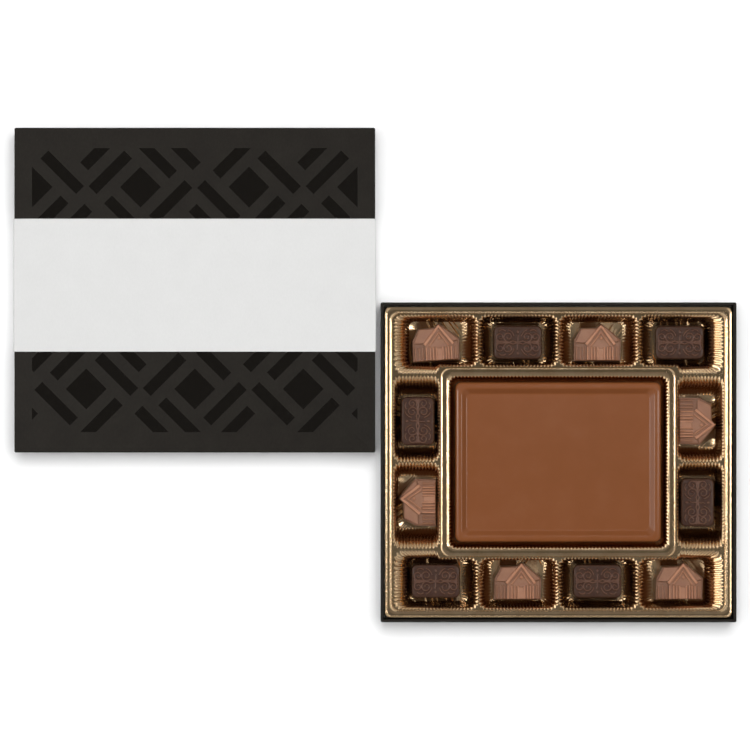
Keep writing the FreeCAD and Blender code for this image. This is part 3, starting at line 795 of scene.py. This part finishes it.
# how far each ring lies below the plate, and how far its flutes wave in and out there
WELL_LEVELS = [(0.0, 0.34), (0.25, 0.5), (0.7, 0.62), (1.6, 0.7), (3.5, 0.78), (8.0, 0.8), (13.4, 0.76),
               (17.0, 0.72), (19.4, 0.64), (20.8, 0.52)]


def flute_counts(x0, x1, y0, y1, corner):
    """Whole numbers of flutes for the four sides and for a corner."""
    tall, wide = round((y1 - y0 - 2 * corner) / FLUTE), round((x1 - x0 - 2 * corner) / FLUTE)
    return (tall, wide, tall, wide), round(math.pi / 2 * corner / FLUTE)


def well(name, phase, edge_mm, wall_mm, floor_mm, shoulders, sink_mm=0.0, sink_from_mm=0.0):
    """One fluted well. Sides are given in the order right, back, left, front.

    Its edge, the foot of its wall and its flat floor are four places each. A shoulder is its width, its
    depth and how much longer its teeth are. The sink moves the front edge outwards beyond a given x.
    """
    edge, wall, floor_at = ([v * MM for v in row] for row in (edge_mm, wall_mm, floor_mm))
    x1, y1, x0, y0 = edge
    flutes, corner_flutes = flute_counts(x0, x1, y0, y1, WELL_CORNER)
    full = PLATE - WELL_FLOOR
    rings = []
    for below_mm, wave_mm in WELL_LEVELS + [(full / MM, FLOOR_WAVE_MM)]:
        below = below_mm * MM
        share = below / full
        bowl = 1 - math.sqrt(1 - (max(below - full + BOWL, 0) / BOWL) ** 2)
        sides, waves = [], []
        for at, foot, end, (wide_mm, deep_mm, longer) in zip(edge, wall, floor_at, shoulders):
            wide, rounded = wide_mm * MM, (1 - min(below_mm / deep_mm, 1)) ** 2
            moved = wide * (1 - rounded) + max(abs(foot - at) - wide, 0) * share + abs(end - foot) * bowl
            sides.append(at + math.copysign(moved, end - at))
            waves.append(phase * wave_mm * MM * (1 + longer * rounded))
        corner = WELL_CORNER + (FLOOR_CORNER - WELL_CORNER) * share
        points = ring(sides[2], sides[0], sides[3], sides[1], corner, PLATE - below,
                      flutes, corner_flutes, waves)
        for k, point in enumerate(points):
            point.z += phase * RIPPLE * min(bowl, 1 - bowl) * WAVE[k % 4]
        for point in points if sink_mm else []:
            beyond = min(max((point.x - sink_from_mm * MM) / SINK_RUN, 0), 1)
            near = min(max((sides[3] + SINK_REACH - point.y) / SINK_REACH, 0), 1)
            point.y -= sink_mm * MM * (1 - share ** SINK_FADE) * near * beyond ** 2 * (3 - 2 * beyond)
        rings.append(points)
    return stack(name, rings, close_last=True)


# kinds of shoulder: width, depth, and how much longer the teeth are
STEEP, TIGHT = (0.7, 0.9, 0.2), (0.4, 0.7, 0.1)
RIDGE, CROSS_RIDGE = (2.1, 3.6, 0.3), (3.0, 4.2, 0.5)
SLOPE, LONG_SLOPE = (4.6, 6.0, 0.9), (6.6, 6.8, 0.7)
# each kind's edge, foot of the wall, flat floor, shoulders and sink
WELL_KINDS = [
    ("corner_well", (90.2, 81.0, 44.28, 52.6), (83.0, 78.7, 46.8, 53.5), (82.0, 77.5, 52.7, 54.3),
     (LONG_SLOPE, STEEP, RIDGE, STEEP), 3.9, 64.6),
    ("inner_well", (43.72, 81.0, 0.28, 52.6), (41.2, 78.7, 2.8, 53.5), (36.3, 77.2, 7.7, 54.6),
     (RIDGE, STEEP, RIDGE, STEEP)),
    ("side_well", (91.0, 47.2, 65.25, 0.3), (88.6, 40.8, 65.9, 4.2), (88.1, 36.8, 66.35, 8.2),
     (STEEP, SLOPE, TIGHT, CROSS_RIDGE))]
wells = []
for kind in WELL_KINDS:
    for flip_x in (1, -1):
        for flip_y in (1, -1):
            # neighbours across a ridge wave in turn, so that their teeth mesh like a herringbone
            quarter = well(kind[0], flip_x * flip_y, *kind[1:])
            quarter.scale = (flip_x, flip_y, 1)
            settle(quarter)
            wells.append(quarter)
print(len(wells), "wells, the first with", len(wells[0].data.vertices), "points")

# %% [markdown]
# ## The insert's rim, frame and plate
#
# The rim has two raised beads with a groove between them, and outside them a skirt down to the
# board. Round the bar runs a raised frame with a slightly rounded top, and inside it the bar's
# own fluted well. Then all the open edges that lie at plate height are filled in one go: the fill
# operator finds which loops are holes. Last, the sheet gets its thickness on the underside.

# %% Insert rim, frame and plate
# each ring of the rim and frame: how far in from the outside, and its height above the plate
RIM_RINGS = [(3.95, 0.0), (3.9, 0.22), (3.78, 0.4), (3.62, 0.46), (3.46, 0.4), (3.32, 0.26), (3.18, 0.17),
             (2.7, 0.1), (1.9, 0.06), (1.2, 0.12), (0.9, 0.2), (0.74, 0.34), (0.58, 0.5), (0.4, 0.57),
             (0.22, 0.52), (0.07, 0.34), (0.0, 0.0), (0.05, -6.0), (0.2, -21.75)]
FRAME_RINGS = [(0.0, 0.0), (0.15, 0.22), (0.45, 0.46), (0.85, 0.54), (1.3, 0.56), (1.8, 0.585), (2.3, 0.6),
               (2.8, 0.57), (3.3, 0.53), (3.6, 0.48), (3.85, 0.4)]
# their corner radii in mm at the outside, and the change for each mm further in
RIM_CORNER, RIM_CORNER_GAIN, FRAME_CORNER, FRAME_CORNER_LOSS = 3.0, 0.4, 5.2, 0.35
FRAME_HALF = Vector((64.65, 51.95)) * MM
BAR_WELL_HALF, BAR_FLOOR_HALF = Vector((60.3, 47.6)) * MM, Vector((58.65, 45.95)) * MM
# each ring of the bar's well: how far below the frame's edge, how far in, and the depth of its flutes
BAR_WELL_LEVELS = [(0.0, 0.0, 0.0), (0.2, 0.25, 0.3), (0.6, 0.6, 0.48), (1.4, 0.9, 0.5), (4.5, 1.1, 0.42),
                   (9.4, 1.3, 0.3)]
BAR_WELL_CORNER, BAR_FLOOR_CORNER, BAR_FLOOR_INSETS = 3.8 * MM, 3.2 * MM, (0.0, 2.0)
SHEET, CREASE = 0.3 * MM, 0.1


def level_ring(half, inset, corner, z, flutes=(1, 1, 1, 1), corner_flutes=3, depth=0.0):
    """A ring about the middle of the box, set in from a half length and half width."""
    return ring(inset - half.x, half.x - inset, inset - half.y, half.y - inset, corner, z,
                flutes, corner_flutes, depth)


rim = stack("insert_rim", [
    level_ring(Vector((tray_high.x, tray_high.y)), i * MM, (RIM_CORNER + RIM_CORNER_GAIN * i) * MM,
               max(PLATE + up * MM, tray_low.z)) for i, up in RIM_RINGS])
frame_rail = stack("insert_frame", [
    level_ring(FRAME_HALF, i * MM, (FRAME_CORNER - FRAME_CORNER_LOSS * i) * MM, PLATE + up * MM)
    for i, up in FRAME_RINGS])
frame_edge = PLATE + FRAME_RINGS[-1][1] * MM
bar_flutes, bar_corner_flutes = flute_counts(
    -BAR_WELL_HALF.x, BAR_WELL_HALF.x, -BAR_WELL_HALF.y, BAR_WELL_HALF.y, BAR_WELL_CORNER)
bar_levels = [level_ring(BAR_WELL_HALF, i * MM, BAR_WELL_CORNER, frame_edge - below * MM,
                         bar_flutes, bar_corner_flutes, wave * MM) for below, i, wave in BAR_WELL_LEVELS]
bar_levels += [level_ring(BAR_FLOOR_HALF, i * MM, BAR_FLOOR_CORNER, bar_low.z, bar_flutes, bar_corner_flutes)
               for i in BAR_FLOOR_INSETS]
bar_well = stack("bar_well", bar_levels, close_last=True)
insert = joined("insert_tray_formed", [rim, frame_rail, bar_well] + wells)
for height in (PLATE, frame_edge):
    edit(insert)
    pick(insert, "EDGE", lambda e: len(e.link_faces) == 1 and max(
        abs(v.co.z - height) for v in e.verts) < MERGE)
    bpy.ops.mesh.fill(use_beauty=True)
outward(insert)
largest = max(insert.data.polygons, key=lambda face: face.area)
if largest.normal.z < 0:
    edit(insert)
    bpy.ops.mesh.select_all(action="SELECT")
    bpy.ops.mesh.flip_normals()
apply_modifier(insert, "SOLIDIFY", thickness=SHEET, offset=-1.0)
choose(insert)
bpy.ops.object.shade_smooth()
edit(insert)
pick(insert, "EDGE", lambda e: max(abs(v.co.z - PLATE) for v in e.verts) < MERGE
     and e.calc_face_angle(0) > CREASE)
bpy.ops.mesh.mark_sharp()
start_clean()

# %% [markdown]
# ## The gold finish
#
# The film on the plastic is vacuum-deposited metal under a tinted lacquer, so it is a pale gold
# mirror. It is not quite flat: forming leaves waves a few millimetres long with finer crinkles in
# them, which break up what it reflects. The lacquer's tint varies a little over the sheet.

# %% Gold finish
TINT_MM, CRINKLE_MM = 12, 4.5

gold, tree, shader, place = new_finish("gold_metallised_sheet", Metallic=1.0, Roughness=0.12)
tint = add_node(tree, "ShaderNodeTexNoise", {"Vector": place, "Scale": 1 / (TINT_MM * MM)}).outputs["Fac"]
tone = add_node(tree, "ShaderNodeValToRGB", {"Fac": tint}, stops=[(0.3, "#DDB98D"), (0.7, "#E8C9A0")])
tree.links.new(tone.outputs["Color"], shader.inputs["Base Color"])
crinkle = add_node(tree, "ShaderNodeTexNoise", {
    "Vector": place, "Scale": 1 / (CRINKLE_MM * MM), "Detail": 5.0, "Roughness": 0.7}).outputs["Fac"]
bump = add_node(tree, "ShaderNodeBump", {"Strength": 0.6, "Distance": 0.17 * MM, "Height": crinkle})
tree.links.new(bump.outputs["Normal"], shader.inputs["Normal"])
coat(insert, gold)
print("the insert has", sum(len(face.vertices) - 2 for face in insert.data.polygons), "triangles")
place_on(insert, "insert", "gold_formed_sheet", "insert_tray")

# %% [markdown]
# ## House chocolates
#
# Each milk chocolate is a small house in relief: a wing with a roof, a gabled front with double
# barge boards, posts beside a door, and a round boss under the peak. It could be carved from one
# block, but a mould maker builds such a relief up, and so does this cell: flat shapes are pushed
# up to their own heights and joined. A voxel remesh then melts them into one skin, and a little
# smoothing gives the rounded edges that chocolate has when it leaves the mould.

# %% House chocolates
HOUSE_WIDE, HOUSE_TALL = 27.4 * MM, 21.3 * MM
VOXEL, KEPT_FACES = 0.16 * MM, 0.22


def prism(name, points, low, high, taper=1.0):
    """A flat shape pushed up from one height to another, with its top scaled by the taper."""
    start_clean()
    bpy.ops.mesh.primitive_circle_add(vertices=len(points), radius=MM, fill_type="NGON")
    piece = named(name)
    for vertex, (x, y) in zip(piece.data.vertices, points):
        vertex.co = (x, y, low)
    edit(piece)
    bpy.ops.mesh.select_all(action="SELECT")
    bpy.ops.mesh.extrude_region_move(TRANSFORM_OT_translate={"value": (0, 0, high - low)})
    bpy.ops.transform.resize(value=(taper, taper, 1), center_override=(0, 0, high))
    outward(piece)
    return piece


def melted(piece):
    """Joins overlapping shapes into one soft skin, and thins its faces."""
    apply_modifier(piece, "REMESH", mode="VOXEL", voxel_size=VOXEL)
    apply_modifier(piece, "SMOOTH", factor=0.5, iterations=2)
    apply_modifier(piece, "DECIMATE", ratio=KEPT_FACES)
    choose(piece)
    bpy.ops.object.shade_smooth()


# each shape's foot and top in mm, and its corners as shares of the house's width and height
HOUSE_SHAPES = [
    (0, 10.0, [(0, 0), (0.985, 0), (1, 0.57), (0.69, 0.915), (0.58, 1), (0.485, 0.9), (0.15, 0.885),
               (0.01, 0.57)]),
    (9, 11.2, [(0.035, 0.5), (0.3, 0.5), (0.5, 0.865), (0.17, 0.865)]),
    (9, 10.2, [(0.04, 0.02), (0.28, 0.02), (0.28, 0.47), (0.04, 0.47)]),
    (9, 10.9, [(0.83, 0.5), (0.97, 0.555), (0.69, 0.885), (0.6, 0.93)]),
    (9, 10.6, [(0.83, 0.02), (0.955, 0.02), (0.965, 0.52), (0.83, 0.47)]),
    (9, 11.2, [(0.27, 0.02), (0.845, 0.02), (0.845, 0.47), (0.575, 0.93), (0.27, 0.47)]),
    (9, 13.1, [(0.235, 0.465), (0.285, 0.42), (0.575, 0.895), (0.575, 0.99)]),
    (9, 13.1, [(0.575, 0.99), (0.575, 0.895), (0.84, 0.42), (0.89, 0.465)]),
    (9, 12.6, [(0.35, 0.42), (0.378, 0.4), (0.575, 0.745), (0.575, 0.795)]),
    (9, 12.6, [(0.575, 0.795), (0.575, 0.745), (0.752, 0.4), (0.78, 0.42)]),
    (9, 12.0, [(0.53, 0.02), (0.62, 0.02), (0.62, 0.34), (0.53, 0.34)]),
]
# each post's place across the house and its height in mm
HOUSE_POSTS = [(0.06, 11.1), (0.145, 11.1), (0.215, 11.1), (0.29, 12.9), (0.375, 12.6), (0.44, 12.6),
               (0.505, 12.8), (0.645, 12.8), (0.71, 12.6), (0.765, 12.6), (0.825, 12.9), (0.905, 11.0)]
POST_HALF, POST_FOOT, POST_TOP, POST_LOW = 0.0145, 0.02, 0.375, 9
HOUSE_SHAPES += [(POST_LOW, high, [(x - POST_HALF, POST_FOOT), (x + POST_HALF, POST_FOOT),
                                   (x + POST_HALF, POST_TOP), (x - POST_HALF, POST_TOP)])
                 for x, high in HOUSE_POSTS]
DRAFT = 0.95
house_parts = []
for low, high, shares in HOUSE_SHAPES:
    points = [((x - 0.5) * HOUSE_WIDE, (y - 0.5) * HOUSE_TALL) for x, y in shares]
    house_parts.append(prism("house_part", points, low * MM, high * MM, DRAFT if low == 0 else 1.0))
    if low:
        edit(house_parts[-1])
        bpy.ops.mesh.select_all(action="SELECT")
        bpy.ops.transform.resize(value=(DRAFT, DRAFT, 1), center_override=(0, 0, 0))
start_clean()
BOSS_AT = (0.075 * HOUSE_WIDE, 0.1 * HOUSE_TALL, 12.1 * MM)
BOSS_RADIUS, BOSS_FLATTEN = 0.95 * MM, 0.7
bpy.ops.mesh.primitive_uv_sphere_add(segments=16, ring_count=8, radius=BOSS_RADIUS, location=BOSS_AT,
                                     scale=(1, 1, BOSS_FLATTEN))
bpy.ops.object.transform_apply(location=True, rotation=True, scale=True)
house_parts.append(named("house_boss"))
house = joined("house_shape", house_parts)
melted(house)
coat(house, light_milk)
print("the house has", len(house.data.polygons), "faces")

# %% [markdown]
# ## Dark chocolates
#
# The dark pieces are rounded blocks with a thin raised ornament on top. The ornament here is a
# plain scroll: stems that curl up in each quarter, with a few leaves and a small flower between
# them. The stems are curves with a round section, made into meshes and melted into the block.

# %% Dark chocolates
# all in mm; each ring of the block: how far in, and how high
DARK_RINGS = [(0.3, 0.0), (0.05, 0.15), (0.0, 0.5), (0.5, 11.1), (0.62, 11.6), (0.85, 11.95), (1.25, 12.2),
              (1.8, 12.3)]
DARK_HALF_X, DARK_HALF_Y, DARK_CORNER, DARK_CORNER_LOSS = 13.85, 9.7, 3.2, 0.3
STEM, STEM_HEIGHT, STEM_TAPER, CURL_POINTS = 0.46, 12.52, 0.25, 18


def stem(points):
    """A round stem through five or more points on top of the block, thinner at its far end."""
    start_clean()
    bpy.ops.curve.primitive_nurbs_path_add()
    line = bpy.context.object
    line.data.bevel_depth, line.data.bevel_resolution = MM, 2
    line.data.use_fill_caps = True
    spline = line.data.splines[0]
    spline.points.add(len(points) - len(spline.points))
    for k, (point, (x, y)) in enumerate(zip(spline.points, points)):
        point.co = (x * MM, y * MM, STEM_HEIGHT * MM, 1)
        point.radius = STEM * (1.0 - STEM_TAPER * k / len(points))
    spline.order_u, spline.use_endpoint_u, spline.resolution_u = 3, True, 4
    bpy.ops.object.convert(target="MESH")
    return named("stem")


def curl(x, y, start_radius, end_radius, start_degrees, turns):
    """Points of a spiral that winds in towards its middle."""
    points = []
    for k in range(CURL_POINTS):
        t = k / (CURL_POINTS - 1)
        angle = math.radians(start_degrees + 360 * turns * t)
        reach = start_radius + (end_radius - start_radius) * t
        points.append((x + reach * math.cos(angle), y + reach * math.sin(angle)))
    return points


SCROLL_LINES = [
    [(0.9, 0.5), (1.7, 0.45)] + curl(5.2, 3.1, 3.2, 0.7, -140, 1.45),
    [(5.6, 0.2), (7.0, 0.0)] + curl(9.7, 3.0, 2.7, 0.6, -115, 1.3),
    [(2.0, 3.4), (2.4, 4.6), (3.3, 5.9), (4.6, 6.9), (5.4, 7.0)],
    [(6.6, 6.2), (7.4, 6.9), (8.6, 7.1), (9.8, 6.7), (10.4, 6.0)],
    [(8.6, 0.75), (10.0, 0.35), (11.6, 0.3), (12.0, 0.75), (11.7, 1.1)],
]
SMALL_LINES = [[(-1.3, 0), (-0.8, 0.35), (0, 0.5), (0.8, 0.35), (1.3, 0)],
               [(1.3, 0), (0.8, -0.35), (0, -0.5), (-0.8, -0.35), (-1.3, 0)],
               [(0, 1.0), (0.3, 1.8), (0, 2.6), (0.3, 3.4), (0.4, 4.2)],
               [(0, -1.0), (-0.3, -1.8), (0, -2.6), (-0.3, -3.4), (-0.4, -4.2)],
               [(0, 5.2), (0.5, 5.8), (0, 6.6), (-0.5, 5.9), (0, 5.2)],
               [(0, -5.2), (-0.5, -5.8), (0, -6.6), (0.5, -5.9), (0, -5.2)]]

block_rings = [
    ring((i - DARK_HALF_X) * MM, (DARK_HALF_X - i) * MM, (i - DARK_HALF_Y) * MM, (DARK_HALF_Y - i) * MM,
         (DARK_CORNER - DARK_CORNER_LOSS * i) * MM, z * MM) for i, z in DARK_RINGS]
block_piece = stack("dark_block", block_rings, close_first=True, close_last=True)
outward(block_piece)
scrolls = [stem(line) for line in SMALL_LINES]
for flip_x in (1, -1):
    for flip_y in (1, -1):
        scrolls += [stem([(x * flip_x, y * flip_y) for x, y in line]) for line in SCROLL_LINES]
dark_piece = joined("dark_shape", [block_piece] + scrolls)
melted(dark_piece)
coat(dark_piece, dark)
print("the dark piece has", len(dark_piece.data.polygons), "faces")

# %% [markdown]
# ## Chocolates in their wells
#
# Each chocolate is now a copy with its own mesh, turned and set in its well. The wells at the two
# sides hold their pieces turned a quarter, and one house at the back has slid a little askew.

# %% Chocolates in their wells
CORNER_X, INNER_X, ROW_Y, SIDE_X, SIDE_Y = 67.35, 22.0, 65.925, 77.225, 22.475
FILLING = [
    ("house_chocolate_1", -CORNER_X, ROW_Y, 3.5), ("dark_chocolate_1", -INNER_X, ROW_Y, 0),
    ("house_chocolate_2", INNER_X, ROW_Y, 0), ("dark_chocolate_2", CORNER_X, ROW_Y, 0),
    ("dark_chocolate_3", -SIDE_X, SIDE_Y, 90), ("house_chocolate_3", SIDE_X, SIDE_Y, -90),
    ("house_chocolate_4", -SIDE_X, -SIDE_Y, 90), ("dark_chocolate_4", SIDE_X, -SIDE_Y, 90),
    ("dark_chocolate_5", -CORNER_X, -ROW_Y, 0), ("house_chocolate_5", -INNER_X, -ROW_Y, 0),
    ("dark_chocolate_6", INNER_X, -ROW_Y, 0), ("house_chocolate_6", CORNER_X, -ROW_Y, 0)]

for node, x, y, degrees in FILLING:
    source, slot = (house, "milk_chocolate") if node.startswith("house") else (dark_piece, "dark_chocolate")
    piece = copied(source, node + "_moulded")
    piece.location, piece.rotation_euler = (x * MM, y * MM, WELL_FLOOR), (0, 0, math.radians(degrees))
    settle(piece)
    place_on(piece, node, slot, node)
for source in (house, dark_piece):
    bpy.data.objects.remove(source)

# %% [markdown]
# ## Sizes
#
# The CAD model's box is printed at the start, and the dressed model's box is printed here.
# The dressed model has to stay inside the CAD model's box.

# %% Sizes
low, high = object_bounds()
print("visual box in mm:", [round(v / MM, 2) for v in (*low, *high)])
